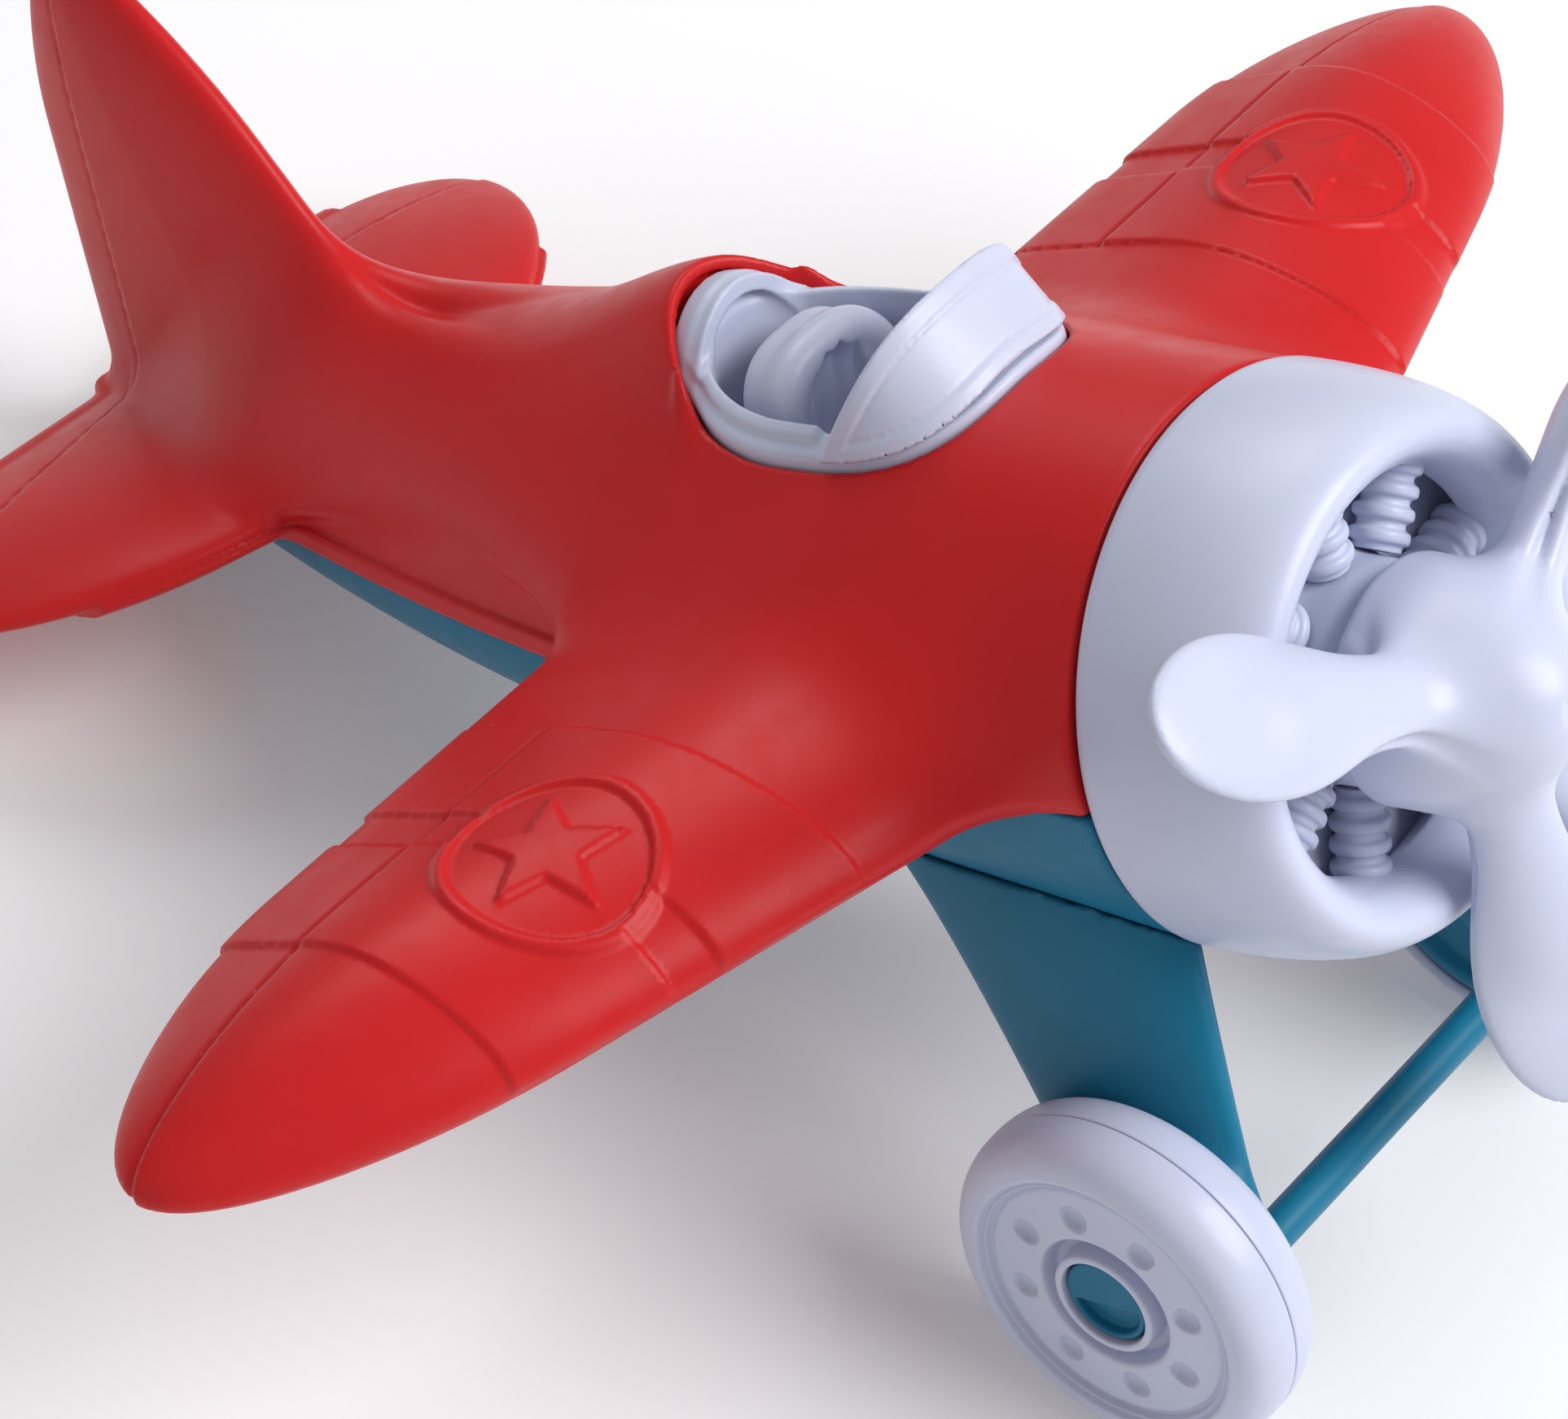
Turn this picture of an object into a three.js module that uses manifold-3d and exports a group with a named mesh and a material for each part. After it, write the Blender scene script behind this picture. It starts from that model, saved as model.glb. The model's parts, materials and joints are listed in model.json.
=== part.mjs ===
// Toy monoplane with a radial engine, open cockpit, fixed gear and free-turning propeller.
// Millimetres. The airframe is drawn in its own frame: the propeller axis is the Y axis, the nose
// points to -Y, +X is to port and +Z is up. The stance group then pitches it onto three points.
import * as THREE from 'three';
import { mergeVertices } from 'three/addons/utils/BufferGeometryUtils.js';
import Module from 'manifold-3d';

const wasm = await Module();
wasm.setup();

// ---- driving dimensions ----
const R = 31.3;                    // cowling and fuselage radius at the cowling seam
const gap = 0.3;                   // clearance between neighbouring pieces
const wall = 2.2;                  // moulded wall thickness
const stancePitch = THREE.MathUtils.degToRad(26.04);

const tailRise = 0.052;            // rise of the fuselage's widest line per unit length aft
const fuselageLength = 5.72 * R;   // from the cowling seam to the tail end
const fuselageTaper = 2.4;         // exponent of the fuselage taper
const fuselageTaperLength = 5.9 * R;
const bellyDepth = 0.85;           // depth of the belly against the half width, aft of the wing
const bellyRunOut = 2.6 * R;       // length over which the belly takes that depth

const wingHalfSpan = 3.87 * R;
const wingTipStart = 2.6 * R;      // where the tip starts to round off
const wingLeadAtRoot = -0.076 * R; // leading edge carried in to the centre line
const wingLeadSlope = 0.35;
const wingTrail = 2.23 * R;
const wingTrailSlope = -0.005;
const wingHalfThickness = 0.205 * R;
const wingLeadHeight = 0.09 * R;   // mid-surface height at the leading edge
const wingTrailHeight = 0.235 * R; // mid-surface height at the trailing edge
const wingRootInside = 0.55 * R;   // the wing solid starts inside the fuselage
const wingEnd = 0.992;             // share of the half span where the tip is closed off
const pocketRoot = 1.3 * R;        // the hollow of a wing, open below, and its cover
const pocketTip = 3.66 * R;

const stabHalfSpan = 1.68 * R;
const stabTipStart = 0.85 * R;
const stabHeight = 0.33 * R;
const stabHalfThickness = 0.125 * R;
const finTop = 2.42 * R;
const finTipStart = 1.55 * R;
const finBase = 0.34 * R;
const finHalfThickness = 0.16 * R;

const cockpitY = 1.43 * R;
const cockpitHalfWidth = 0.52 * R;
const cockpitHalfLength = 0.7 * R;
const tubWall = 1.6;
const tubBottom = 0.3 * R;
const tubFloor = tubBottom + 2;
const archFront = 1.95 * R;        // headrest fairing, front and rear end
const archRear = 3.4 * R;
const archWall = 1.6;

const cowlLength = 0.7 * R;
const cowlBulge = 1.012 * R;
const cowlLipRadius = 0.84 * R;
const cowlMouthRadius = 0.7 * R;

const propRadius = 1.7 * R;
const propPlane = -0.9 * R;
const bladeCount = 3;
const bladeWidest = 0.7;           // share of the propeller radius
const spinnerTip = -1.305 * R;
const spinnerBack = -0.62 * R;
const spinnerRadius = 0.43 * R;
const shaftRadius = 2.2;
const shaftFront = 0.95 * R;       // distance of the shaft's end ahead of the seam

const cylinderCount = 9;
const cylinderAhead = 0.4 * R;     // distance of the cylinders ahead of the seam
const cylinderRadius = 0.104 * R;  // over the fins
const cylinderHead = 0.735 * R;    // radius of the cylinder heads about the propeller axis
const crankcaseRadius = 0.39 * R;
const backPlateFront = 0.29 * R;
const backPlateThickness = 2.2;
const backPlateRadius = 0.84 * R;

const wheelX = 1.222 * R;
const axleY = 0.233 * R;
const axleZ = -1.82 * R;
const wheelRadius = 0.68 * R;
const wheelSides = 28;
const tyreHalfWidth = 0.2 * R;
const tyreSquareness = 2.4;        // exponent of the tyre's rounded section
const faceRadius = 0.507 * R;      // outer face of the wheel
const recessRadius = 0.25 * R;
const bossRadius = 0.205 * R;
const pinHeadRadius = 5.15;
const pinHeadBack = 2.6;
const pinShaftRadius = 3.2;
const hubDiscRadius = 0.49 * R;    // round end of a gear leg
const hubDiscInner = -6.6;
const hubDiscOuter = -2.6;
const barRadius = 2.35;
const barY = -0.12 * R;
const barZ = -1.83 * R;

// The skid's foot is level with the flats of the tyres when the airplane stands.
const skidY = 5.2 * R;
const tyreRest = wheelRadius * Math.cos(Math.PI / wheelSides);
const floorLevel = axleZ * Math.cos(stancePitch) - axleY * Math.sin(stancePitch) - tyreRest;
const skidZ = (floorLevel + skidY * Math.sin(stancePitch)) / Math.cos(stancePitch);

// ---- materials ----
const plastic = (colour, roughness) =>
  new THREE.MeshStandardMaterial({ color: colour, roughness, metalness: 0 });
const red = plastic(0xc62a2c, 0.42);
const blue = plastic(0x1f6f92, 0.42);
const white = plastic(0xc9cbe2, 0.4);

// ---- helpers ----
const power = (value, exponent) => Math.sign(value) * Math.abs(value) ** exponent;
const mix = (a, b, t) => a + (b - a) * t;
const clamp01 = (t) => Math.min(1, Math.max(0, t));
const smooth = (t) => clamp01(t) ** 2 * (3 - 2 * clamp01(t));
const steps = (count) => Array.from({ length: count + 1 }, (_, i) => i / count);
const around = (count, place) =>
  Array.from({ length: count }, (_, i) => place((2 * Math.PI * i) / count));
const closedRing = (profile) => [...profile, profile[0]];
const sides = [['left', 1], ['right', -1]];

// A closed geometry through a list of rings of equal length, with flat fans over both ends.
function loft(rings) {
  const count = rings[0].length;
  const positions = rings.flat(2);
  const index = [];
  for (let i = 0; i + 1 < rings.length; i += 1) {
    for (let j = 0; j < count; j += 1) {
      const a = i * count + j;
      const b = i * count + ((j + 1) % count);
      index.push(a, b, a + count, b, b + count, a + count);
    }
  }
  [0, rings.length - 1].forEach((i) => {
    const centre = [0, 1, 2].map((k) => rings[i].reduce((sum, p) => sum + p[k], 0) / count);
    const c = positions.length / 3;
    positions.push(...centre);
    for (let j = 0; j < count; j += 1) {
      const a = i * count + j;
      const b = i * count + ((j + 1) % count);
      index.push(...(i === 0 ? [b, a, c] : [a, b, c]));
    }
  });
  const geometry = new THREE.BufferGeometry();
  geometry.setAttribute('position', new THREE.Float32BufferAttribute(positions, 3));
  geometry.setIndex(index);
  return geometry;
}

// A geometry as a solid, turned inside out if its triangles wind inwards.
function solid(geometry) {
  const bare = geometry.clone();
  Object.keys(bare.attributes).filter((key) => key !== 'position')
    .forEach((key) => bare.deleteAttribute(key));
  const merged = mergeVertices(bare, 1e-4);
  const triangles = Uint32Array.from(merged.index.array);
  const make = () => new wasm.Manifold(new wasm.Mesh({
    numProp: 3,
    vertProperties: Float32Array.from(merged.attributes.position.array),
    triVerts: triangles,
  }));
  const first = make();
  if (first.volume() > 0) return first;
  for (let i = 0; i < triangles.length; i += 3) {
    [triangles[i], triangles[i + 1]] = [triangles[i + 1], triangles[i]];
  }
  return make();
}

const joined = (list) => list.reduce((sum, next) => sum.add(next));
const without = (body, list) => list.reduce((rest, next) => rest.subtract(next), body);

function block(low, high) {
  const geometry = new THREE.BoxGeometry(...high.map((value, i) => value - low[i]));
  geometry.translate(...high.map((value, i) => (value + low[i]) / 2));
  return geometry;
}

// A turned shape from [along, radius] pairs that start and end on the axis, or form a ring.
function turned(profile, count) {
  const points = profile.map(([along, radius]) => new THREE.Vector2(radius, along));
  return new THREE.LatheGeometry(points, count);
}
const rod = (from, to, radius, count) =>
  turned([[from, 0], [from, radius], [to, radius], [to, 0]], count);

// Turned shapes about the propeller axis, with "along" counted forward from the seam.
const aboutThrust = (geometry) => geometry.rotateX(Math.PI);

// Turned shapes about a wheel axle, with "along" counted outward from the middle of the tyre.
function aboutAxle(geometry, side) {
  geometry.rotateZ(-side * Math.PI / 2);
  return geometry.translate(side * wheelX, axleY, axleZ);
}

const meshes = [];
function addPart(name, shape, material) {
  const body = shape.isBufferGeometry ? solid(shape) : shape;
  const mesh = body.getMesh();
  const geometry = new THREE.BufferGeometry();
  geometry.setAttribute('position', new THREE.Float32BufferAttribute(mesh.vertProperties, 3));
  geometry.setIndex(Array.from(mesh.triVerts));
  geometry.computeVertexNormals();
  const part = new THREE.Mesh(geometry, material);
  part.name = name;
  meshes.push(part);
}

// ---- fuselage ----
const fuselageHalfWidth = (y) =>
  R * (1 - Math.max(0, y / fuselageTaperLength) ** fuselageTaper);
const widestHeight = (y) => tailRise * Math.max(0, y);
const lowerDepth = (y) => mix(1, bellyDepth, smooth(y / bellyRunOut));

function fuselage(inset, from, to) {
  return solid(loft(steps(11).map((t) => {
    const y = mix(from, to, t);
    const halfWidth = Math.max(0.6, fuselageHalfWidth(y) - inset);
    return around(24, (angle) => {
      const up = Math.sin(angle);
      const height = up < 0 ? halfWidth * lowerDepth(y) : halfWidth;
      return [halfWidth * Math.cos(angle), y, widestHeight(y) + height * up];
    });
  })));
}

// Everything above (+1) or below (-1) the split line between the red and the blue shell.
function halfSpace(side, shift) {
  const far = 260;
  const slab = block([-far, -far, Math.min(0, side * far)], [far, far, Math.max(0, side * far)]);
  slab.rotateX(Math.atan(tailRise));
  slab.translate(0, 0, shift);
  return solid(slab);
}

// ---- wing ----
const wingLead = (x) => wingLeadAtRoot + wingLeadSlope * x;
const wingTrailAt = (x) => wingTrail + wingTrailSlope * x;
function wingTipFactor(x) {
  const u = clamp01((x - wingTipStart) / (wingHalfSpan - wingTipStart));
  return Math.sqrt(Math.max(0, 1 - u ** 1.6));
}
function wingStation(x) {
  const middle = (wingLead(x) + wingTrailAt(x)) / 2;
  const half = ((wingTrailAt(x) - wingLead(x)) / 2) * wingTipFactor(x);
  const thick = wingHalfThickness * mix(0.45, 1, Math.sqrt(wingTipFactor(x)));
  return { middle, half, thick };
}
function wingMidHeight(x, y) {
  const share = clamp01((y - wingLead(x)) / (wingTrailAt(x) - wingLead(x)));
  return mix(wingLeadHeight, wingTrailHeight, share);
}

function wing(side, inset, from, to, lowerExtra = 0) {
  return solid(loft(steps(9).map((t) => {
    const x = mix(from, to, mix(t, Math.sin((t * Math.PI) / 2), 0.35));
    const { middle, half, thick } = wingStation(x);
    const halfChord = Math.max(0.5, half - inset);
    const upper = Math.max(0.3, thick - inset);
    return around(18, (angle) => {
      const y = middle - halfChord * power(Math.cos(angle), 0.85);
      const lift = power(Math.sin(angle), 0.85);
      const depth = lift < 0 ? upper + lowerExtra : upper;
      return [side * x, y, wingMidHeight(x, y) + depth * lift];
    });
  })));
}

// Underside plate that closes the hollow of one wing and follows its lower skin.
function wingCover(side) {
  const plate = solid(loft(steps(9).map((t) => {
    const x = mix(pocketRoot, pocketTip, t);
    const { middle, half, thick } = wingStation(x);
    const lower = steps(7).map((across) => {
      const y = middle + mix(-0.98, 0.98, across) * half;
      const drop = thick * Math.sqrt(1 - ((y - middle) / half) ** 2);
      return [side * x, y, wingMidHeight(x, y) - drop * 0.96];
    });
    const upper = lower.map(([px, y, z]) => [px, y, z + wall * 0.8]).reverse();
    return [...lower, ...upper];
  })));
  return plate.intersect(wing(side, wall + gap, pocketRoot + gap, pocketTip - gap, 5));
}

// ---- tail ----
function stabiliser(side, inset = 0) {
  return solid(loft(steps(7).map((t) => {
    const x = mix(0.1 * R, stabHalfSpan * wingEnd, Math.sin((t * Math.PI) / 2));
    const lead = 3.8 * R + 0.47 * x;
    const trail = 5.62 * R + 0.1 * x;
    const u = clamp01((x - stabTipStart) / (stabHalfSpan - stabTipStart));
    const tip = Math.sqrt(Math.max(0, 1 - u ** 2.1));
    const half = ((trail - lead) / 2) * tip - inset;
    const thick = stabHalfThickness * mix(0.5, 1, tip) - inset;
    return around(16, (angle) => [side * x, (lead + trail) / 2 - half * Math.cos(angle),
      stabHeight + thick * power(Math.sin(angle), 0.9)]);
  })));
}

function fin() {
  return solid(loft(steps(8).map((t) => {
    const z = mix(finBase, finTop * wingEnd, Math.sin((t * Math.PI) / 2));
    const lead = 3.43 * R + 0.52 * z;
    const trail = 5.67 * R - 0.17 * z;
    const u = clamp01((z - finTipStart) / (finTop - finTipStart));
    const tip = Math.sqrt(Math.max(0, 1 - u ** 2.2));
    const half = ((trail - lead) / 2) * tip;
    const thick = finHalfThickness * mix(0.5, 1, tip);
    return around(16, (angle) => {
      const taper = mix(0.55, 1, (Math.cos(angle) + 1) / 2);
      return [thick * taper * Math.sin(angle), (lead + trail) / 2 - half * Math.cos(angle), z];
    });
  })));
}

// ---- cockpit opening and headrest fairing ----
function cockpitColumn(offset, low, high) {
  const ring = around(24, (angle) => [
    (cockpitHalfWidth + offset) * power(Math.cos(angle), 0.9),
    cockpitY + (cockpitHalfLength + offset) * power(Math.sin(angle), 0.9),
  ]);
  return solid(loft([low, high].map((z) => ring.map(([x, y]) => [x, y, z]))));
}

// Fairing behind the pilot's head, arched at the front and sinking into the fuselage aft.
function headrestFairing(inset, from, to) {
  return solid(loft(steps(7).map((t) => {
    const y = mix(from, to, t);
    const aft = clamp01((y - archFront) / (1.5 * R));
    const base = 0.55 * R;
    const rise = mix(1.285 * R, 0.86 * R, smooth(aft)) - inset - base;
    const halfWidth = mix(0.5 * R, 0.3 * R, aft) - inset;
    return around(20, (angle) => {
      const up = Math.sin(angle);
      const height = up > 0 ? rise * power(up, 0.8) : 4 * up;
      return [halfWidth * power(Math.cos(angle), 0.75), y, base + height];
    });
  })));
}

// ---- red upper shell: fuselage top, wings, stabilizers and fin ----
function upperShell() {
  const skin = joined([
    fuselage(0, 0, fuselageLength),
    headrestFairing(0, archFront, archRear),
  ]).intersect(halfSpace(1, 0));
  const wings = sides.map(([, side]) => wing(side, 0, wingRootInside, wingHalfSpan * wingEnd));
  const pockets = sides.map(([, side]) => wing(side, wall, pocketRoot, pocketTip, 6));
  return without(joined([skin, ...wings, stabiliser(1), stabiliser(-1), fin()]), [
    fuselage(wall, -1, fuselageLength - 12),
    ...pockets,
    cockpitColumn(0, 0.25 * R, 1.6 * R),
    headrestFairing(archWall, 1.9 * R, 2.2 * R),
    solid(block([-wingHalfSpan, -R, -R], [wingHalfSpan, 0, R])),
  ]);
}
addPart('upper_shell', upperShell(), red);
sides.forEach(([name, side]) => addPart(`wing_cover_${name}`, wingCover(side), red));

// ---- blue belly ----
function belly() {
  const shell = fuselage(0, 0, fuselageLength).intersect(halfSpace(-1, -gap));
  return without(shell, [
    fuselage(wall, -1, fuselageLength - 14),
    ...sides.map(([, side]) => wing(side, -gap, 0.4 * R, wingHalfSpan * wingEnd)),
    ...sides.map(([, side]) => stabiliser(side, -gap)),
  ]);
}
addPart('belly_shell', belly(), blue);

// ---- landing gear ----
function gearLeg(side) {
  const blade = solid(loft(steps(8).map((t) => {
    const z = mix(-0.5 * R, axleZ, t);
    const front = mix(0.03 * R, -0.21 * R, t);
    const rear = mix(1.42 * R, 0.55 * R, t ** 0.9);
    const x = mix(0.62 * R, 1.02 * R, t ** 0.85);
    const halfThick = mix(0.2 * R, 0.085 * R, t);
    return around(18, (angle) => [
      side * (x + halfThick * power(Math.sin(angle), 0.9)),
      (front + rear) / 2 - ((rear - front) / 2) * power(Math.cos(angle), 0.9),
      z,
    ]);
  })));
  const disc = aboutAxle(turned([
    [hubDiscInner, 0],
    [hubDiscInner, hubDiscRadius - 1.5],
    [hubDiscInner + 1.2, hubDiscRadius],
    [hubDiscOuter - 0.8, hubDiscRadius],
    [hubDiscOuter, hubDiscRadius - 0.8],
    [hubDiscOuter, 0],
  ], 32), side);
  const pinSocket = aboutAxle(rod(-12, 3, pinShaftRadius + gap, 20), side);
  const barSocket = rod(0, wheelX - 6, barRadius + gap, 16).rotateZ(-side * Math.PI / 2);
  return without(joined([blade, solid(disc)]), [
    solid(pinSocket),
    solid(barSocket.translate(0, barY, barZ)),
    fuselage(-gap, -5, fuselageLength),
  ]);
}
sides.forEach(([name, side]) => addPart(`gear_leg_${name}`, gearLeg(side), blue));

const barHalfLength = wheelX - 6 - gap;
const bar = rod(-barHalfLength, barHalfLength, barRadius, 16).rotateZ(Math.PI / 2);
addPart('spreader_bar', bar.translate(0, barY, barZ), blue);

// Stub axle with a round head whose lower half is set back.
function axlePin(side) {
  const head = pinHeadBack + 2.7;
  const pin = aboutAxle(turned([
    [-9, 0],
    [-9, pinShaftRadius],
    [pinHeadBack, pinShaftRadius],
    [pinHeadBack, pinHeadRadius],
    [head - 0.4, pinHeadRadius],
    [head, pinHeadRadius - 0.5],
    [head, 0],
  ], 24), side);
  const setBack = aboutAxle(rod(head - 1.2, head + 3, pinHeadRadius - 0.7, 24), side);
  const reach = side * (wheelX + 9);
  const lowerHalf = block([Math.min(reach, 0), axleY - 6, axleZ - 6],
    [Math.max(reach, 0), axleY + 6, axleZ - 0.6]);
  return solid(pin).subtract(solid(setBack).intersect(solid(lowerHalf)));
}

// ---- wheels: two hollow halves that meet at the middle of the tyre ----
const tyreCurve = (from, to, count) => steps(count).map((t) => {
  const along = mix(from, to, t);
  const inside = Math.max(0, 1 - (Math.abs(along) / tyreHalfWidth) ** tyreSquareness);
  return [along, mix(0.76 * wheelRadius, wheelRadius, inside ** (1 / tyreSquareness))];
});

// A flat of the tyre faces the floor.
const wheelTurn = Math.PI / wheelSides + stancePitch;
function wheelHalf(profile, side) {
  const geometry = turned(closedRing(profile), wheelSides);
  geometry.rotateY(side * wheelTurn);
  return aboutAxle(geometry, side);
}

function wheelOuter(side) {
  const face = tyreHalfWidth;
  return wheelHalf([
    ...tyreCurve(gap / 2, tyreHalfWidth, 4),
    [face - 0.2, faceRadius + 0.6],
    [face - 1.1, faceRadius - 0.5],
    [face - 0.9, recessRadius + 0.3],
    [face - 3.4, recessRadius],
    [face - 3.4, bossRadius],
    [face - 0.7, bossRadius],
    [face - 0.7, pinHeadRadius + gap],
    [pinHeadBack - gap, pinHeadRadius + gap],
    [pinHeadBack - gap, pinShaftRadius + gap],
    [-2.2, pinShaftRadius + gap],
    [-2.2, pinShaftRadius + 2.2],
    [1.2, pinShaftRadius + 2.2],
    [1.2, recessRadius],
    [face - 3.2, recessRadius + 2],
    [face - 3.2, 0.72 * wheelRadius],
    [gap / 2, wheelRadius - 2],
  ], side);
}

function wheelInner(side) {
  const opening = 0.8 * wheelRadius;
  return wheelHalf([
    ...tyreCurve(-gap / 2, -tyreHalfWidth * 0.93, 4),
    [-tyreHalfWidth * 0.96, opening + 0.4],
    [-tyreHalfWidth * 0.9, opening],
    [-tyreHalfWidth * 0.5, opening + 0.6],
    [-gap / 2, wheelRadius - 2],
  ], side);
}

sides.forEach(([name, side]) => {
  addPart(`axle_pin_${name}`, axlePin(side), blue);
  addPart(`wheel_outer_${name}`, wheelOuter(side), white);
  addPart(`wheel_inner_${name}`, wheelInner(side), white);
});

// ---- tail skid: a short rest with a flat foot that is level when the airplane stands ----
function tailSkid() {
  const rest = solid(loft(steps(3).map((t) => {
    const z = mix(skidZ, skidZ + 0.35 * R, t);
    const halfWidth = mix(2.6, 3.4, t);
    const halfLength = mix(5, 9, t);
    return around(16, (angle) => {
      const aft = halfLength * Math.sin(angle);
      const slope = Math.tan(stancePitch) * (1 - t);
      return [halfWidth * Math.cos(angle), skidY + aft, z + aft * slope];
    });
  })));
  return rest.subtract(fuselage(-gap, 0, fuselageLength));
}
addPart('tail_skid', tailSkid(), blue);

// ---- cowling and engine ----
const cowlSkin = steps(8).map((t) => {
  const turn = (t * Math.PI) / 2;
  const bulge = mix(R, cowlBulge, smooth(Math.sin(turn) * 2.5));
  const rollIn = (cowlBulge - cowlLipRadius) * (1 - Math.cos(turn)) ** 1.15;
  return [mix(gap, cowlLength, Math.sin(turn)), bulge - rollIn];
});
addPart('cowling', aboutThrust(turned(closedRing([
  ...cowlSkin,
  [cowlLength - 0.7, cowlLipRadius - 2.2],
  [cowlLength - 2.6, cowlMouthRadius + 0.5],
  [cowlLength - 4.6, cowlMouthRadius + 0.2],
  [cowlLength - 5.6, cowlMouthRadius + 1.8],
  [cowlLength - 7.5, 0.81 * R],
  [cowlLength - 10.5, 0.88 * R],
  [gap, R - wall],
]), 36)), white);

const crankcaseFront = -spinnerBack - gap;
const crankcase = solid(aboutThrust(turned([
  [backPlateFront - backPlateThickness, 0],
  [backPlateFront - backPlateThickness, backPlateRadius],
  [backPlateFront, backPlateRadius],
  [backPlateFront, crankcaseRadius],
  [0.56 * R, crankcaseRadius],
  [crankcaseFront, crankcaseRadius - 1],
  [crankcaseFront, 0],
], 32)));
const shaftBore = solid(aboutThrust(rod(-R, R, shaftRadius + gap, 16)));
addPart('engine_crankcase', crankcase.subtract(shaftBore), white);

// One dummy cylinder with ring fins, standing out from the crankcase towards +Z.
function finnedCylinder() {
  const root = crankcaseRadius + gap;
  const core = cylinderRadius * 0.72;
  const finCount = 4;
  const finPitch = (cylinderHead - root) / (finCount + 0.4);
  const fins = steps(finCount - 1).flatMap((t) => {
    const middle = root + finPitch * (t * (finCount - 1) + 0.55);
    return [[middle - 0.55, core], [middle, cylinderRadius], [middle + 0.55, core]];
  });
  const profile = [[root, 0], [root, core], ...fins, [cylinderHead, core * 0.85], [cylinderHead, 0]];
  return turned(profile, 8).rotateX(Math.PI / 2);
}
for (let i = 0; i < cylinderCount; i += 1) {
  const cylinder = finnedCylinder().translate(0, -cylinderAhead, 0);
  addPart(`engine_cylinder_${i + 1}`, cylinder.rotateY((2 * Math.PI * i) / cylinderCount), white);
}

// ---- propeller: spinner and blades in one moulding ----
// Half the blade's width at a share t of the propeller radius, as a share of R.
function bladeHalfWidth(t) {
  const neck = mix(0.3, 0.17, smooth((t - 0.1) / 0.25));
  const reach = 1 - bladeWidest + 0.0005;
  const paddle = 0.285 * Math.sqrt(Math.max(0, 1 - Math.abs((t - bladeWidest) / reach) ** 2.3));
  return Math.max(0.02, neck * (1 - smooth((t - 0.4) / 0.3)), paddle);
}

function blade(turn) {
  return solid(loft(steps(8).map((step) => {
    const radius = mix(0.18 * R, propRadius * 0.997, step);
    const t = radius / propRadius;
    const half = R * bladeHalfWidth(t);
    const thick = mix(2.6, 1.1, smooth(t * 1.3));
    const pitch = THREE.MathUtils.degToRad(mix(48, 28, smooth(t)));
    return around(10, (angle) => {
      const across = half * Math.cos(angle);
      const through = thick * Math.sin(angle);
      return [
        across * Math.cos(pitch) - through * Math.sin(pitch),
        propPlane + across * Math.sin(pitch) + through * Math.cos(pitch),
        radius,
      ];
    });
  })).rotateY(turn));
}

function propeller() {
  const nose = steps(8).map((t) => {
    const along = mix(-spinnerBack, -spinnerTip, Math.sin((t * Math.PI) / 2));
    const forward = (along + spinnerBack) / (spinnerBack - spinnerTip);
    return [along, spinnerRadius * Math.sqrt(Math.max(0, 1 - forward ** 2.1))];
  });
  const spinner = solid(aboutThrust(turned([[-spinnerBack, 0], ...nose], 24)));
  const socket = solid(aboutThrust(rod(0.4 * R, shaftFront, shaftRadius + gap, 16)));
  const dimple = solid(new THREE.SphereGeometry(2.2, 12, 8).translate(0, spinnerTip - 1.4, 0));
  const blades = steps(bladeCount).slice(1).map((t) => blade(Math.PI * (1 + 2 * t)));
  return without(joined([spinner, ...blades]), [socket, dimple]);
}
addPart('propeller', propeller(), white);

// The shaft turns in the crankcase, and a collar behind the back plate holds it in.
const collarFront = backPlateFront - backPlateThickness - gap;
const collarBack = collarFront - 2.6;
addPart('propeller_shaft',
  aboutThrust(rod(collarBack - 1.5, shaftFront - gap, shaftRadius, 16)), white);
addPart('shaft_collar', aboutThrust(turned(closedRing([
  [collarBack, shaftRadius + gap],
  [collarBack, 5],
  [collarFront, 5],
  [collarFront, shaftRadius + gap],
]), 20)), white);

// ---- cockpit liner, seat and windscreen ----
const sillHeight = 0.5;            // how far the liner's sill stands above the red skin
function cockpitTub() {
  const liner = cockpitColumn(-gap, tubBottom, 1.2 * R)
    .subtract(cockpitColumn(-gap - tubWall, tubFloor, 1.4 * R))
    .intersect(fuselage(-sillHeight, 0, fuselageLength));
  const arch = headrestFairing(archWall + gap, 1.97 * R, 2.15 * R)
    .subtract(headrestFairing(archWall + 2, 1.8 * R, 2.1 * R))
    .intersect(solid(block([-R, 1.9 * R, 0.7 * R], [R, 2.2 * R, 2 * R])));
  return liner.add(arch);
}
addPart('cockpit_tub', cockpitTub(), white);

function pilotSeat() {
  const halfWidth = 0.28 * R;
  const floor = tubFloor + gap;
  const back = 1.92 * R;
  const front = 1.4 * R;
  const outline = new THREE.Shape();
  outline.moveTo(front, floor);
  outline.lineTo(back - 2, floor);
  outline.lineTo(back, 0.94 * R);
  outline.quadraticCurveTo(back - 2, 1.04 * R, back - 4, 0.94 * R);
  outline.lineTo(back - 6, floor + 5);
  outline.lineTo(front, floor + 4);
  outline.closePath();
  const geometry = new THREE.ExtrudeGeometry(outline, {
    depth: 2 * halfWidth,
    bevelEnabled: false,
    curveSegments: 4,
  });
  const [x, y, z] = [[1, 0, 0], [0, 1, 0], [0, 0, 1]].map((axis) => new THREE.Vector3(...axis));
  geometry.applyMatrix4(new THREE.Matrix4().makeBasis(y, z, x));
  return geometry.translate(-halfWidth, 0, 0);
}
addPart('pilot_seat', pilotSeat(), white);

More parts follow.
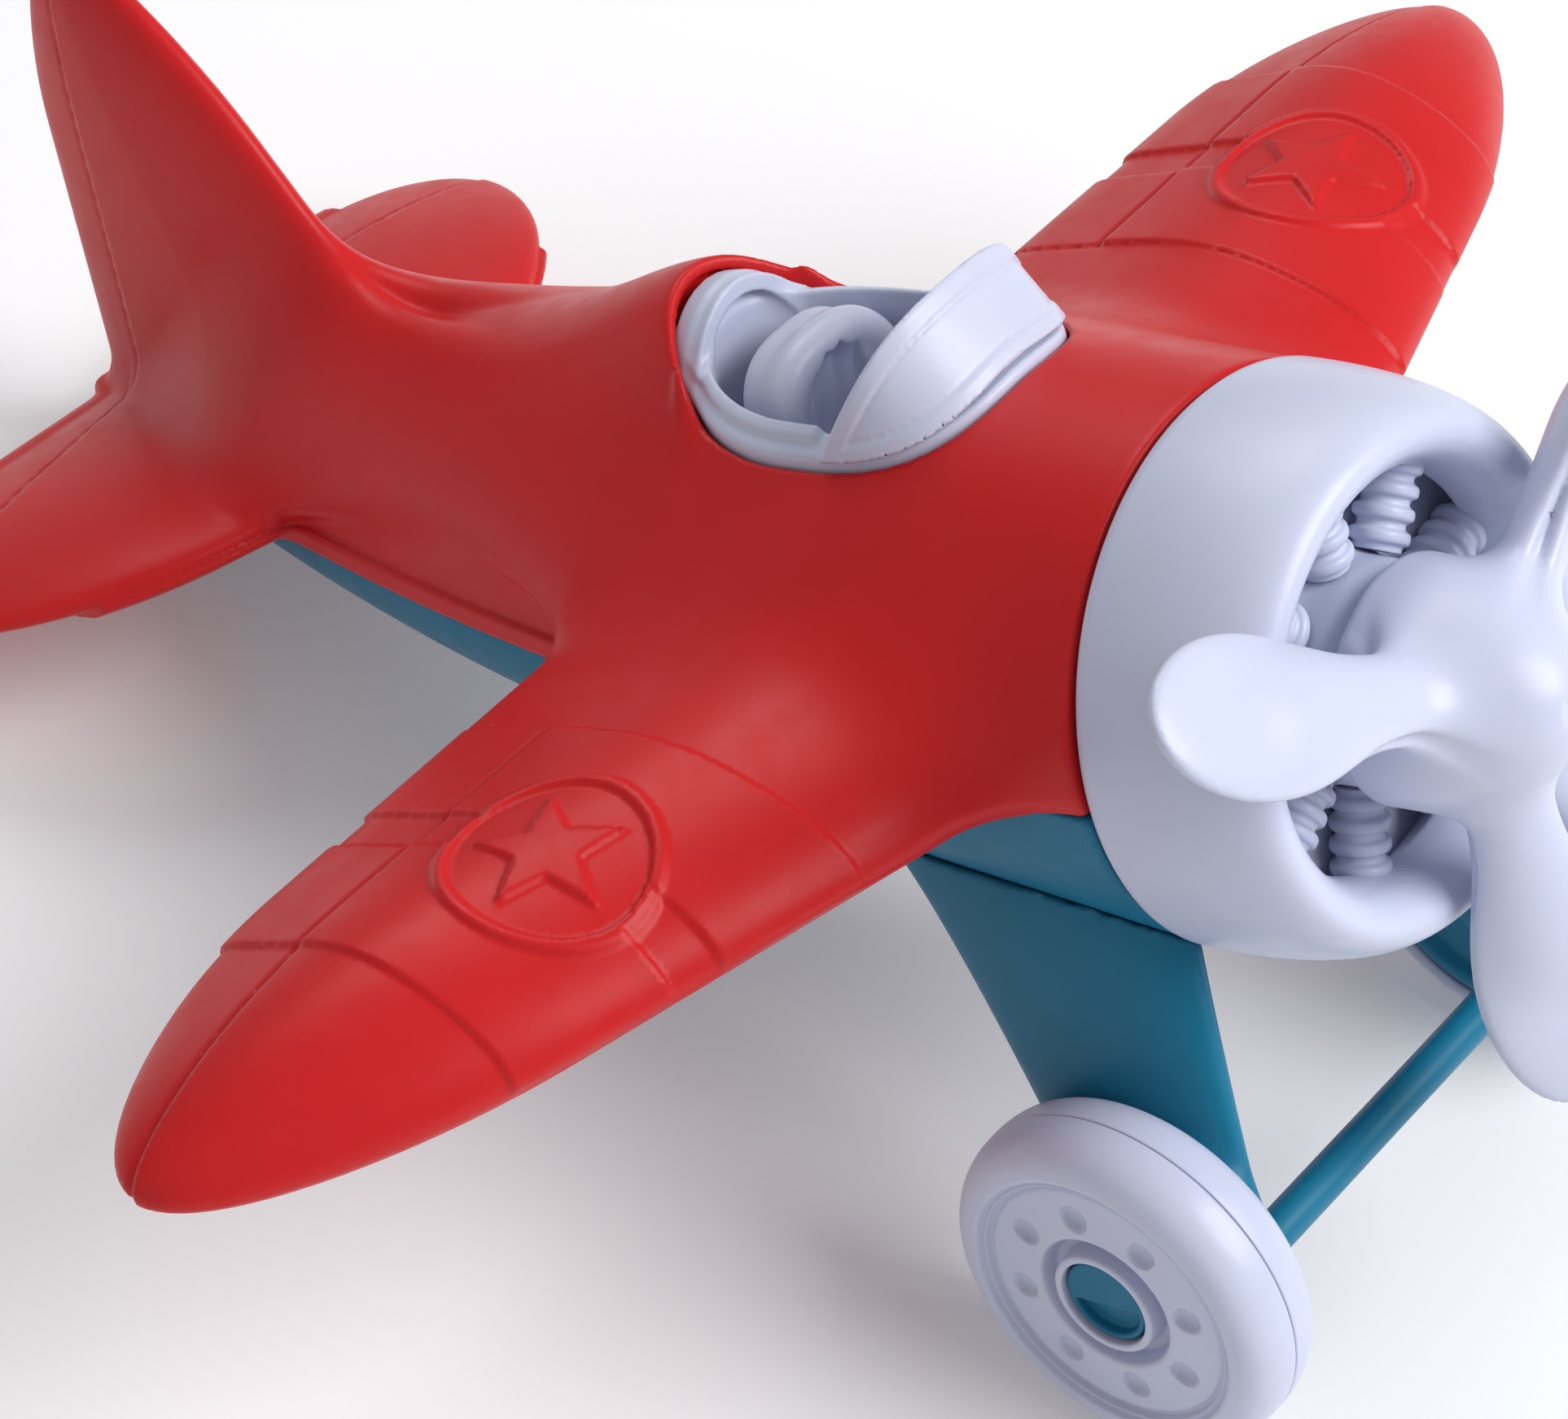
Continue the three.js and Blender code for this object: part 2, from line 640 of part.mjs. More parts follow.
// A band that stands on the sill round the front of the cockpit, highest at the middle.
function windscreen() {
  const halfThick = 0.8;
  return loft(steps(20).map((t) => {
    const angle = THREE.MathUtils.degToRad(mix(187, 353, t));
    const outward = [Math.cos(angle), Math.sin(angle)];
    const x = (cockpitHalfWidth - 1.2) * power(outward[0], 0.8);
    const y = cockpitY + (cockpitHalfLength - 1.2) * power(outward[1], 0.8);
    const skin = widestHeight(y) + Math.sqrt(fuselageHalfWidth(y) ** 2 - x ** 2);
    const base = skin + sillHeight + 2 * gap;
    const top = Math.max(base + 1.2, 1.35 * R - 0.85 * (y - 0.73 * R));
    const at = (side, up) => {
      const lean = (top - base) * up;
      return [
        x * (1 - 0.01 * lean) + outward[0] * side * halfThick,
        y + outward[1] * (side * halfThick - 0.6 * lean),
        mix(base, top, up),
      ];
    };
    return [at(1, 0), at(1, 0.5), at(1, 1), at(-1, 1), at(-1, 0.5), at(-1, 0)];
  }));
}
addPart('windscreen', windscreen(), white);

// ---- stance: pitch the airframe so that both wheels and the skid stand on the floor ----
const airframe = new THREE.Group();
airframe.rotation.x = -stancePitch;
airframe.add(...meshes);
const stance = new THREE.Group();
stance.add(airframe);
stance.updateMatrixWorld(true);
const bounds = new THREE.Box3().setFromObject(stance, true);
airframe.position.set(0, -(bounds.min.y + bounds.max.y) / 2, -bounds.min.z);

export default stance;
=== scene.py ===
"""Looks for a moulded toy monoplane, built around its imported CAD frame.

Every shape is drawn in the airframe's own axes, in millimetres: the propeller axis is the Y axis,
the nose points to -Y, +X is to port and +Z is up, from the centre of the cowling's rear seam.
on_stand() turns that into the frame, where the airplane stands on its wheels and skid.

Blended mouldings are fields, functions that are negative inside, meshed by surface_net().
Turned pieces are profiles, swept by revolve().
"""

import json
import math

import bpy
import numpy as np
from mathutils import Matrix, Vector


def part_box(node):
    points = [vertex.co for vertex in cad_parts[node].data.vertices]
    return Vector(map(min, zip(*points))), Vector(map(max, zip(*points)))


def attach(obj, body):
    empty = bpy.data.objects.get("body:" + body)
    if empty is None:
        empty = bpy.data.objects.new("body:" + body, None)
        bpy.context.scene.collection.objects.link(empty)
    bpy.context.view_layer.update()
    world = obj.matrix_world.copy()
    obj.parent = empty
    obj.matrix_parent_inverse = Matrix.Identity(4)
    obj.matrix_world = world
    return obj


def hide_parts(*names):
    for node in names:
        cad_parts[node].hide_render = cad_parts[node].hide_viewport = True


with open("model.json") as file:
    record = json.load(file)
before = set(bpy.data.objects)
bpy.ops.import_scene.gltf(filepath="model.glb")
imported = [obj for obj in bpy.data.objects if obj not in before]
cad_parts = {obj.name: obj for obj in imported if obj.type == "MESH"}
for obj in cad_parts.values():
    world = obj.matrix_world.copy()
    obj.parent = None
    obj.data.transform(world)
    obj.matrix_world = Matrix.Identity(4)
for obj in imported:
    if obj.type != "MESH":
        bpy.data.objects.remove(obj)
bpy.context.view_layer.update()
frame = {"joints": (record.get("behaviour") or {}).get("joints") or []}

# ---- where the airframe stands, from the propeller's joint ----
JOINTS = {joint["name"]: joint for joint in frame["joints"]}
SEAM = np.array(JOINTS["propeller_spin"]["pos_m"])
THRUST = JOINTS["propeller_spin"]["axis"]
PITCH = math.atan2(THRUST[2], -THRUST[1])
MM = 0.001

# ---- driving dimensions, in millimetres ----
R = 31.3                       # fuselage radius at the cowling seam
GAP = 0.3                      # clearance between pieces
FUSELAGE_LENGTH = 5.66 * R
TAPER_LENGTH = 5.9 * R
TAIL_RISE = 0.052
HALF_SPAN = 3.86 * R
TIP_START = 2.6 * R
COCKPIT_Y = 1.42 * R
COCKPIT_HALF_WIDTH = 0.525 * R
COCKPIT_FRONT = 0.74 * R       # how far the opening reaches ahead of its widest place
COCKPIT_REAR = 0.71 * R
ARCH_Y = 1.93 * R              # front of the headrest arch
WHEEL_X = 1.222 * R
AXLE_Y = 0.233 * R
AXLE_Z = -1.82 * R
WHEEL_RADIUS = 0.676 * R
TYRE_HALF_WIDTH = 0.2 * R
PROP_RADIUS = 1.69 * R
PROP_PLANE = -0.9 * R
BLADES = 3
CYLINDERS = 9
HINGE_Y = 1.755 * R            # aileron hinge line
CHEEK_POWER = 2.4              # how late the fuselage's half width falls off towards the tail
SHELL_WALL = 2.2
OPEN_END = 0.1                 # where the hollow shells are cut off behind the cowling
HEADREST_END = 3.5 * R
SEAT_FLUTE = 2.6               # distance between the ribs of the seat's back
LEG_SOCKET_RADIUS = 3.5
BAR_Y = -0.12 * R
BAR_Z = -1.83 * R
BANDS = ((1.6 * R, 2.13 * R), (2.31 * R, 2.885 * R))   # raised bands across each wing
EMBLEM = (2.22 * R, 1.2 * R)   # centre of the ring and star
SIDES = (("left", 1), ("right", -1))


# ---- numbers ----
def mix(a, b, t):
    return a + (b - a) * t


def smooth(t):
    t = np.clip(t, 0, 1)
    return t * t * (3 - 2 * t)


def ramp(value, start, end):
    """0 before start, 1 after end, and a smooth step between."""
    return smooth((value - start) / (end - start))


def soft_min(a, b, k):
    h = np.clip(0.5 + 0.5 * (b - a) / k, 0, 1)
    return mix(b, a, h) - k * h * (1 - h)


def soft_max(a, b, k):
    return -soft_min(-a, -b, k)


def ellipse(u, v, ru, rv):
    """Nearly the distance to an ellipse with half axes ru and rv."""
    tiny = 1e-8
    near = np.sqrt((u / ru) ** 2 + (v / rv) ** 2 + tiny)
    slope = np.sqrt((u / ru**2) ** 2 + (v / rv**2) ** 2 + tiny / (ru * rv))
    return near * (near - 1) / slope


def ellipsoid(u, v, w, ru, rv, rw):
    tiny = 1e-8
    near = np.sqrt((u / ru) ** 2 + (v / rv) ** 2 + (w / rw) ** 2 + tiny)
    slope = np.sqrt((u / ru**2) ** 2 + (v / rv**2) ** 2 + (w / rw**2) ** 2 + tiny / (ru * rv))
    return near * (near - 1) / slope


def oval(u, v, ru, ahead, behind):
    """A squarish oval that reaches ahead towards -v, and a rounder one that reaches behind."""
    power = np.where(v < 0, 2.7, 2.1)
    rv = np.where(v < 0, ahead, behind)
    a, b = np.abs(u) / ru + 1e-5, np.abs(v) / rv + 1e-5
    near = (a**power + b**power) ** (1 / power)
    slope = np.sqrt((a ** (power - 1) / ru) ** 2 + (b ** (power - 1) / rv) ** 2)
    return (near - 1) / (slope / near ** (power - 1))


def box_field(u, v, w, half, radius):
    """Distance to a box with rounded edges."""
    d = [np.abs(p) - h + radius for p, h in zip((u, v, w), half)]
    outside = np.sqrt(sum(np.maximum(p, 0) ** 2 for p in d))
    return outside + np.minimum(np.maximum(np.maximum(d[0], d[1]), d[2]), 0) - radius


# ---- from a field to a mesh ----
def on_stand(points):
    """Airframe millimetres to frame metres."""
    x, y, z = (np.asarray(points, float) * MM).T
    c, s = math.cos(PITCH), math.sin(PITCH)
    return np.stack([x, y * c + z * s, z * c - y * s], axis=1) + SEAM


def lattice(field, low, high, step):
    """The field on a lattice, worked out only in the blocks that the surface may pass through."""
    side = 8
    low = np.asarray(low, float)
    blocks = np.ceil((np.asarray(high, float) - low) / (step * side)).astype(int)
    middle = [low[a] + (np.arange(blocks[a]) * side + (side - 1) / 2) * step for a in range(3)]
    coarse = field(*np.meshgrid(*middle, indexing="ij"))
    near = np.argwhere(np.abs(coarse) < side * step * 1.5)
    values = np.repeat(coarse.astype(np.float32)[..., None], side**3, axis=3)
    offsets = np.stack(np.meshgrid(*[np.arange(side)] * 3, indexing="ij"), axis=-1).reshape(-1, 3)
    for part in np.array_split(near, max(1, len(near) // 300)):
        points = low + (part[:, None, :] * side + offsets) * step
        x, y, z = (points[..., a] for a in range(3))
        values[part[:, 0], part[:, 1], part[:, 2]] = field(x, y, z)
    values = values.reshape(*blocks, side, side, side).transpose(0, 3, 1, 4, 2, 5)
    return values.reshape(blocks * side), low


def surface_net(field, low, high, step, mirrored=False):
    """Vertices and quads of the surface where the field is 0. A mirrored field starts at x = 0."""
    values, low = lattice(field, low, high, step)
    if mirrored:
        values = np.concatenate([values[:0:-1], values])
        low = low - np.array([(values.shape[0] // 2) * step, 0, 0])
    inside = values < 0
    size = np.array(values.shape)
    corners = np.array([(i, j, k) for i in (0, 1) for j in (0, 1) for k in (0, 1)])
    window = [inside[i:size[0] - 1 + i, j:size[1] - 1 + j, k:size[2] - 1 + k]
              for i, j, k in corners]
    count = sum(w.astype(np.uint8) for w in window)
    cells = np.argwhere((count > 0) & (count < 8))
    strides = np.array([(size[1] - 1) * (size[2] - 1), size[2] - 1, 1])
    order = cells @ strides
    at = [values[tuple((cells + c).T)] for c in corners]
    total = np.zeros((len(cells), 3))
    hits = np.zeros(len(cells))
    for a in range(8):
        for b in range(a + 1, 8):
            if np.abs(corners[a] - corners[b]).sum() != 1:
                continue
            crossing = (at[a] < 0) != (at[b] < 0)
            t = np.where(crossing, at[a] / np.where(crossing, at[a] - at[b], 1), 0)
            point = corners[a] + t[:, None] * (corners[b] - corners[a])
            total += point * crossing[:, None]
            hits += crossing
    points = low + (cells + total / hits[:, None]) * step
    quads = []
    for axis in range(3):
        u, v = (axis + 1) % 3, (axis + 2) % 3
        first = [slice(1, -1)] * 3
        first[axis] = slice(0, -1)
        second = list(first)
        second[axis] = slice(1, None)
        here, there = inside[tuple(first)], inside[tuple(second)]
        edges = np.argwhere(here != there)
        outward = here[tuple(edges.T)]
        start = edges + np.where(np.arange(3) == axis, 0, 1)
        around = [(-1, -1), (0, -1), (0, 0), (-1, 0)]
        ring = []
        for du, dv in around:
            cell = start.copy()
            cell[:, u] += du
            cell[:, v] += dv
            ring.append(np.searchsorted(order, cell @ strides))
        ring = np.stack(ring, axis=1)
        quads.append(np.where(outward[:, None], ring, ring[:, ::-1]))
    return onto_surface(field, points, step, mirrored), np.concatenate(quads)


def onto_surface(field, points, step, mirrored):
    """Moves points along the field's slope until they lie on its surface."""
    shift = 0.02 * step
    for _ in range(3):
        folded = points.copy()
        if mirrored:
            folded[:, 0] = np.abs(folded[:, 0])
        value = field(*folded.T)
        slope = []
        for axis in range(3):
            ahead = folded.copy()
            ahead[:, axis] += shift
            slope.append((field(*ahead.T) - value) / shift)
        slope = np.stack(slope, axis=1)
        if mirrored:
            slope[:, 0] *= np.where(points[:, 0] < 0, -1, 1)
        steep = np.maximum((slope**2).sum(axis=1), 0.05)
        move = -slope * (value / steep)[:, None]
        length = np.sqrt((move**2).sum(axis=1))
        points = points + move * np.minimum(1, 0.5 * step / np.maximum(length, 1e-9))[:, None]
    return points


def new_piece(name, points, faces, material, body, stands_for):
    """A smooth-shaded piece, from airframe points and faces with four corners each."""
    faces = np.asarray(faces, np.int32)
    mesh = bpy.data.meshes.new(name)
    mesh.vertices.add(len(points))
    mesh.vertices.foreach_set("co", on_stand(points).astype(np.float32).ravel())
    mesh.loops.add(faces.size)
    mesh.loops.foreach_set("vertex_index", faces.ravel())
    mesh.polygons.add(len(faces))
    starts = np.arange(0, faces.size, faces.shape[1], dtype=np.int32)
    mesh.polygons.foreach_set("loop_start", starts)
    mesh.update(calc_edges=True)
    mesh.validate()
    mesh.shade_smooth()
    mesh.materials.append(material)
    piece = bpy.data.objects.new(name, mesh)
    bpy.context.scene.collection.objects.link(piece)
    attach(piece, body)
    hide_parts(*stands_for)
    return piece


# ---- profiles ----
def rounded(corners, closed=False):
    """A profile from (along, radius, fillet) corners, with each corner turned by a fillet."""
    points = []
    count = len(corners)
    for i, (along, radius, fillet) in enumerate(corners):
        here = np.array([along, radius])
        if not closed and i in (0, count - 1) or fillet == 0:
            points.append(here)
            continue
        before = np.array(corners[i - 1][:2]) - here
        after = np.array(corners[(i + 1) % count][:2]) - here
        reach = min(fillet, 0.48 * np.linalg.norm(before), 0.48 * np.linalg.norm(after))
        start = here + before / np.linalg.norm(before) * reach
        end = here + after / np.linalg.norm(after) * reach
        for t in np.linspace(0, 1, 6):
            points.append((1 - t) ** 2 * start + 2 * t * (1 - t) * here + t**2 * end)
    return np.array(points)


def spaced(profile, spacing, closed):
    """The same profile with no step longer than the spacing."""
    points = []
    last = len(profile) if closed else len(profile) - 1
    for i in range(last):
        a, b = profile[i], profile[(i + 1) % len(profile)]
        cuts = max(1, math.ceil(np.linalg.norm(b - a) / spacing))
        points += [mix(a, b, t) for t in np.arange(cuts) / cuts]
    if not closed:
        points.append(profile[-1])
    return np.array(points)


def revolve(profile, sides, closed=False, relief=None):
    """Points (along, u, v) and quads of a profile turned about its axis.

    relief(along, radius, angle) gives how far each point is lowered along the axis.
    """
    angle = np.arange(sides) * 2 * math.pi / sides
    along = np.repeat(profile[:, :1], sides, axis=1)
    radius = np.repeat(profile[:, 1:], sides, axis=1)
    turn = np.repeat(angle[None, :], len(profile), axis=0)
    if relief is not None:
        along = along - relief(along, radius, turn)
    points = np.stack([along, radius * np.cos(turn), radius * np.sin(turn)], axis=-1)
    rows = len(profile) if closed else len(profile) - 1
    i, j = np.meshgrid(np.arange(rows), np.arange(sides), indexing="ij")
    below, beside = (i + 1) % len(profile), (j + 1) % sides
    quads = np.stack([i * sides + j, below * sides + j, below * sides + beside, i * sides + beside],
                     axis=-1)
    return points.reshape(-1, 3), quads.reshape(-1, 4)


def outward(points, quads):
    """The quads, turned over if they enclose a negative volume."""
    a, b, c, d = (points[quads[:, k]] for k in range(4))
    volume = (np.cross(a, b) * c).sum() + (np.cross(a, c) * d).sum()
    return quads if volume > 0 else quads[:, ::-1]


def turned(name, corners, sides, place, material, body, stands_for, closed=False,
           spacing=1.0, relief=None):
    """A turned piece: place() puts its (along, u, v) points into the airframe."""
    profile = spaced(rounded(corners, closed), spacing, closed)
    points, quads = revolve(profile, sides, closed, relief)
    points = place(points)
    return new_piece(name, points, outward(points, quads), material, body, stands_for)


def about_thrust(points):
    """Along is counted forward from the seam."""
    return np.stack([points[:, 1], -points[:, 0], points[:, 2]], axis=1)


def about_axle(side):
    """Along is counted outward from the middle of the tyre."""
    def place(points):
        x = side * (points[:, 0] + WHEEL_X)
        return np.stack([x, AXLE_Y + points[:, 1], AXLE_Z + points[:, 2]], axis=1)
    return place


# ---- materials ----
def plastic(name, colour, roughness, gloss, speck):
    """Satin moulded plastic with a fine grain, faint flow marks and an uneven polish."""
    material = bpy.data.materials.new(name)
    material.use_nodes = True
    nodes, links = material.node_tree.nodes, material.node_tree.links
    shader = nodes["Principled BSDF"]
    place = nodes.new("ShaderNodeTexCoord")

    def noise(scale, detail):
        texture = nodes.new("ShaderNodeTexNoise")
        texture.inputs["Scale"].default_value = scale
        texture.inputs["Detail"].default_value = detail
        links.new(place.outputs["Object"], texture.inputs["Vector"])
        return texture.outputs["Fac"]

    def spread(value, low, high):
        span = nodes.new("ShaderNodeMapRange")
        span.inputs["From Min"].default_value = 0.3
        span.inputs["From Max"].default_value = 0.7
        span.inputs["To Min"].default_value = low
        span.inputs["To Max"].default_value = high
        links.new(value, span.inputs["Value"])
        return span.outputs["Result"]

    tint = nodes.new("ShaderNodeMix")
    tint.data_type = "RGBA"
    tint.inputs["A"].default_value = (*[c * (1 - speck) for c in colour], 1)
    tint.inputs["B"].default_value = (*[min(1, c * (1 + speck)) for c in colour], 1)
    links.new(spread(noise(55, 5), 0, 1), tint.inputs["Factor"])
    links.new(tint.outputs["Result"], shader.inputs["Base Color"])
    links.new(spread(noise(240, 4), roughness - 0.04, roughness + 0.05), shader.inputs["Roughness"])
    grain = nodes.new("ShaderNodeBump")
    grain.inputs["Strength"].default_value = 0.12
    grain.inputs["Distance"].default_value = 0.00006
    links.new(noise(3200, 3), grain.inputs["Height"])
    flow = nodes.new("ShaderNodeBump")
    flow.inputs["Strength"].default_value = 0.1
    flow.inputs["Distance"].default_value = 0.0003
    links.new(noise(90, 2), flow.inputs["Height"])
    links.new(flow.outputs["Normal"], grain.inputs["Normal"])
    links.new(grain.outputs["Normal"], shader.inputs["Normal"])
    shader.inputs["IOR"].default_value = 1.45
    shader.inputs["Specular IOR Level"].default_value = gloss
    return material


RED = plastic("red_plastic", (0.56, 0.012, 0.014), 0.38, 0.28, 0.04)
BLUE = plastic("blue_plastic", (0.006, 0.15, 0.26), 0.38, 0.28, 0.05)
WHITE = plastic("white_plastic", (0.55, 0.58, 0.73), 0.33, 0.45, 0.02)


# ---- fuselage ----
def lower_depth(y):
    return mix(1, 0.85, smooth(y / (2.6 * R)))


def fuselage(x, y, z):
    along = np.clip(y, 0, FUSELAGE_LENGTH)
    half = R * (1 - (along / TAPER_LENGTH) ** CHEEK_POWER)
    height = z - TAIL_RISE * along
    depth = np.where(height < 0, lower_depth(along), 1)
    side = ellipse(x, height, half, half * depth) * 0.95
    return soft_max(side, y - FUSELAGE_LENGTH, 3)


def split(y, z):
    """Height above the line where the red shell meets the blue belly."""
    return z - TAIL_RISE * np.maximum(y, 0)


def headrest(x, y, z, inset=0):
    aft = np.clip((y - ARCH_Y) / (1.5 * R), 0, 1)
    base = 0.5 * R
    rise = mix(1.3 * R, 0.86 * R, smooth(aft)) - base - inset
    return ellipse(x, z - base, mix(0.5 * R, 0.32 * R, aft) - inset, rise)


def cockpit_column(x, y, offset=0):
    return oval(x, y - COCKPIT_Y, COCKPIT_HALF_WIDTH + offset, COCKPIT_FRONT + offset,
                COCKPIT_REAR + offset)


# ---- wing ----
def wing_frame(x, y):
    ax = np.abs(x)
    lead = -0.076 * R + 0.35 * ax
    trail = 2.23 * R - 0.005 * ax
    share = np.clip((y - lead) / (trail - lead), 0, 1)
    tip = np.clip((ax - TIP_START) / (HALF_SPAN - TIP_START), 0, None)
    middle = mix(0.08 * R, 0.33 * R, share) - 0.06 * R * tip**2
    return (lead + trail) / 2, (trail - lead) / 2, share, tip, middle


def plan(x, y):
    """Distance to the wing's outline as seen from above."""
    centre, half, _, tip, _ = wing_frame(x, y)
    return ellipse(y - centre, tip**1.05, half, 1)


def star(x, y, radius):
    """Distance to a five-pointed star."""
    spoke = math.pi / 5
    angle = np.arctan2(x, y)
    angle = np.abs((angle + spoke) % (2 * spoke) - spoke)
    reach = np.hypot(x, y)
    u, v = reach * np.cos(angle), reach * np.sin(angle)
    inner = radius * 0.42
    tip_to_inner = np.array([inner * math.cos(spoke) - radius, inner * math.sin(spoke)])
    length = np.linalg.norm(tip_to_inner)
    return ((u - radius) * tip_to_inner[1] - v * tip_to_inner[0]) / length


def wing_relief(x, y):
    """How far the upper surface stands out: bands, the aileron, its hinge line and the emblem."""
    ax = np.abs(x)
    step = 0.45
    height = 0
    for start, end in BANDS:
        height = height + 0.5 * ramp(ax, start - step / 2, start + step / 2) \
            * ramp(-ax, -end - step / 2, -end + step / 2)
    outboard = ramp(ax, BANDS[0][0] - step, BANDS[0][0])
    aileron = ramp(y, HINGE_Y - step / 2, HINGE_Y + step / 2) * outboard
    groove = np.clip(1 - ((y - HINGE_Y) / 0.55) ** 2, 0, 1) * outboard
    height = height - 0.35 * aileron - 0.35 * groove
    u, v = ax - EMBLEM[0], y - EMBLEM[1]
    from_ring = np.hypot(u, v) - 0.36 * R
    height = mix(height, 0.45, ramp(-from_ring, -0.3, 0.3))
    ring = np.abs(from_ring) - 0.7
    badge = np.minimum(ring, star(v, u, 0.27 * R))
    return height + 0.6 * ramp(-badge, -0.3, 0.3)


def wing(x, y, z):
    centre, half, share, tip, middle = wing_frame(x, y)
    up = z - middle
    over = R * mix(0.33, 0.16, ramp(share, 0.3, 1.0)) * (1 - 0.12 * np.minimum(tip, 1.2) ** 2)
    under = R * mix(0.25, 0.14, share) * (1 - 0.15 * np.minimum(tip, 1.2) ** 2)
    thick = np.where(up > 0, over, under)
    across, rise = (y - centre) / half, up / thick
    near = np.sqrt(across**2 + rise**2 + tip**2.1 + 1e-8)
    end_slope = 1.05 * tip**1.1 / (HALF_SPAN - TIP_START)
    slope = np.sqrt((across / half) ** 2 + (rise / thick) ** 2 + end_slope**2 + 1e-8)
    shape = near * (near - 1) / slope
    on_top = ramp(up, -0.06 * R, 0.0)
    return shape - wing_relief(x, y) * on_top


# ---- tail ----
def surface_steps(u, v, start, end):
    """Control surface: set back behind a hinge line from start to end, with a fine groove."""
    du, dv = end[0] - start[0], end[1] - start[1]
    length = math.hypot(du, dv)
    behind = ((v - start[1]) * du - (u - start[0]) * dv) / length
    return -0.3 * ramp(behind, -0.25, 0.25) - 0.25 * np.clip(1 - (behind / 0.5) ** 2, 0, 1)


def stabiliser(x, y, z):
    ax = np.abs(x)
    lead = 3.78 * R + 0.45 * ax
    trail = 5.6 * R + 0.12 * ax
    half = np.maximum((trail - lead) / 2, 1)
    span_left = (1.7 - 0.85) * R
    tip = np.clip((ax - 0.85 * R) / span_left, 0, None)
    thick = R * 0.135 * (1 - 0.35 * np.minimum(tip, 1.1) ** 2)
    across, rise = (y - (lead + trail) / 2) / half, (z - 0.33 * R) / thick
    near = np.sqrt(across**2 + rise**2 + tip**2.3 + 1e-8)
    end_slope = 1.15 * tip**1.3 / span_left
    slope = np.sqrt((across / half) ** 2 + (rise / thick) ** 2 + end_slope**2 + 1e-8)
    hinge = surface_steps(ax, y, (0.26 * R, 5.36 * R), (1.49 * R, 5.15 * R))
    return near * (near - 1) / slope - hinge


def fin(x, y, z):
    lead = 3.43 * R + 0.52 * z
    trail = 5.69 * R - 0.17 * z
    half = np.maximum((trail - lead) / 2, 1)
    span_left = (2.41 - 1.55) * R
    tip = np.clip((z - 1.55 * R) / span_left, 0, None)
    across = (y - (lead + trail) / 2) / half
    thick = R * mix(0.19, 0.11, np.clip(z / (2.4 * R), 0, 1)) * mix(1, 0.75, np.clip(across, 0, 1))
    side = x / thick
    near = np.sqrt(across**2 + side**2 + tip**2.2 + 1e-8)
    end_slope = 1.1 * tip**1.2 / span_left
    slope = np.sqrt((across / half) ** 2 + (side / thick) ** 2 + end_slope**2 + 1e-8)
    hinge = surface_steps(z, y, (0.5 * R, 5.33 * R), (2.2 * R, 5.03 * R))
    return soft_max(near * (near - 1) / slope - hinge, 0.35 * R - z, 0.1 * R)


# ---- red upper shell and its wing covers ----
COVER_WALL = 1.6


def cover_outline(x, y):
    return np.maximum(plan(x, y) + 3.2, 1.3 * R - np.abs(x))


def under_side(x, y, z):
    return z - wing_frame(x, y)[4]


def wing_cover(x, y, z):
    skin = wing(x, y, z)
    plate = soft_max(soft_max(skin, -skin - COVER_WALL, 0.3), cover_outline(x, y) + GAP, 0.6)
    return soft_max(plate, under_side(x, y, z), 0.3)


def cover_seat(x, y, z):
    skin = wing(x, y, z)
    depth = np.maximum(-skin - COVER_WALL - GAP, cover_outline(x, y))
    return np.maximum(depth, under_side(x, y, z))


def upper_shell(x, y, z):
    hull = soft_min(fuselage(x, y, z), headrest_front(x, y, z), 0.16 * R)
    above = split(y, z)
    behind = ramp(y, R, 2 * R)
    fillet = ramp(above, R * mix(-0.12, 0.03, behind), R * mix(0.1, 0.35, behind))
    body = soft_min(hull, wing(x, y, z), R * mix(0.02, 0.44, fillet))
    aft = ramp(y, 4.3 * R, 5.4 * R)
    fillet = mix(0.3, 0.08, aft) * mix(0.15, 1, ramp(above, 0.05 * R, 0.22 * R))
    body = soft_min(body, stabiliser(x, y, z), R * fillet)
    body = soft_min(body, fin(x, y, z), R * mix(0.5, 0.1, aft))
    belly_space = np.maximum(fuselage(x, y, z) - 1.2, above)
    body = soft_max(body, -belly_space, 0.5)
    ledge = soft_max(body - 0.9, np.abs(above - 1.5) - 1.5, 0.7)
    ledge = np.maximum(ledge, np.maximum(1.9 * R - y, np.abs(x) - 1.3 * R))
    body = soft_min(body, ledge, 0.25)
    arch_edge = np.hypot(headrest(x, y, z) + 0.2, y - ARCH_Y - 0.9) - 1.0
    body = soft_min(body, np.maximum(arch_edge, 0.95 * R - z), 0.8)
    opening = np.maximum(cockpit_column(x, y), 0.22 * R - z)
    arch_space = np.maximum(np.abs(y - 1.9 * R) - 0.26 * R, 0.7 * R - z)
    arch_space = np.maximum(headrest(x, y, z, 1.7), arch_space)
    body = soft_max(body, -np.minimum(opening, arch_space), 0.9)
    inside = soft_max(fuselage(x, y, z) + SHELL_WALL, y - 5.1 * R, 2)
    body = np.maximum(body, -inside)
    body = soft_max(body, OPEN_END - y, 0.8)
    return np.maximum(body, -cover_seat(x, y, z))


def headrest_front(x, y, z):
    return soft_max(soft_max(headrest(x, y, z), ARCH_Y - y, 1.0), y - HEADREST_END, 0.3 * R)


def belly(x, y, z):
    body = fuselage(x, y, z)
    above = split(y, z) + GAP
    shell = soft_max(body, above, 0.6)
    shell = np.maximum(shell, -soft_max(body + SHELL_WALL, y - 5.0 * R, 2))
    solid_red = np.minimum(wing(x, y, z), stabiliser(x, y, z))
    shell = np.maximum(shell, -(solid_red - GAP))
    return soft_max(shell, OPEN_END - y, 0.8)


